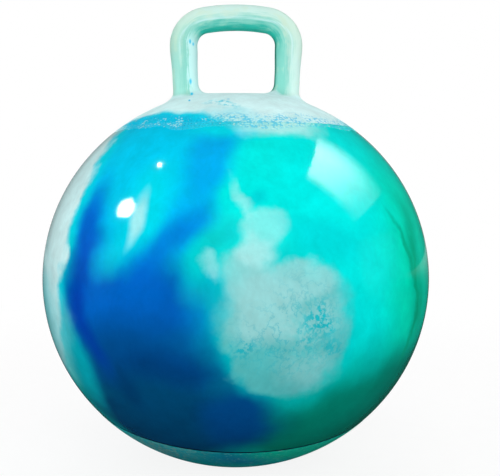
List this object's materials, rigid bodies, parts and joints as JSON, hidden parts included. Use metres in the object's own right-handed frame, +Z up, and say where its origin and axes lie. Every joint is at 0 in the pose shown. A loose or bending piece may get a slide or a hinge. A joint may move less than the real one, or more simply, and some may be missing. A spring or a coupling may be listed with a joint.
{
  "type": "hopper ball",
  "caption": "Inflated vinyl bouncing ball for a child to sit on, with a moulded loop handle on a stippled crown, a flat resting patch and a push-in air plug at the back.",
  "frame": {"origin": "middle of the flat patch the ball rests on, on the floor", "axes": "+Z up through the handle, +X across the handle from leg to leg, -Y towards the front, the side opposite the air plug"},
  "size_m": [0.45, 0.45, 0.5347],
  "materials": {
    "marbled_vinyl": "glossy soft vinyl, marbled in blue, turquoise, green and white",
    "base_vinyl": "glossy soft vinyl, mottled teal",
    "stippled_vinyl": "pale soft vinyl with a fine stipple of raised dots",
    "handle_vinyl": "matte mint vinyl with fine ribs along the grip",
    "seat_vinyl": "pale soft vinyl",
    "plug_plastic": "off-white moulded plastic"
  },
  "bodies": {
    "ball": {"ball_skin": "marbled_vinyl", "base_skin": "base_vinyl", "crown_skin": "stippled_vinyl", "handle_loop": "handle_vinyl", "valve_seat": "seat_vinyl"},
    "plug": {"valve_plug": "plug_plastic"}
  },
  "joints": [
    {"name": "plug_pull", "type": "slide", "parent": "ball", "child": "plug", "axis": [0, 0.8192, 0.5736], "range_m": [0, 0.04]}
  ]
}
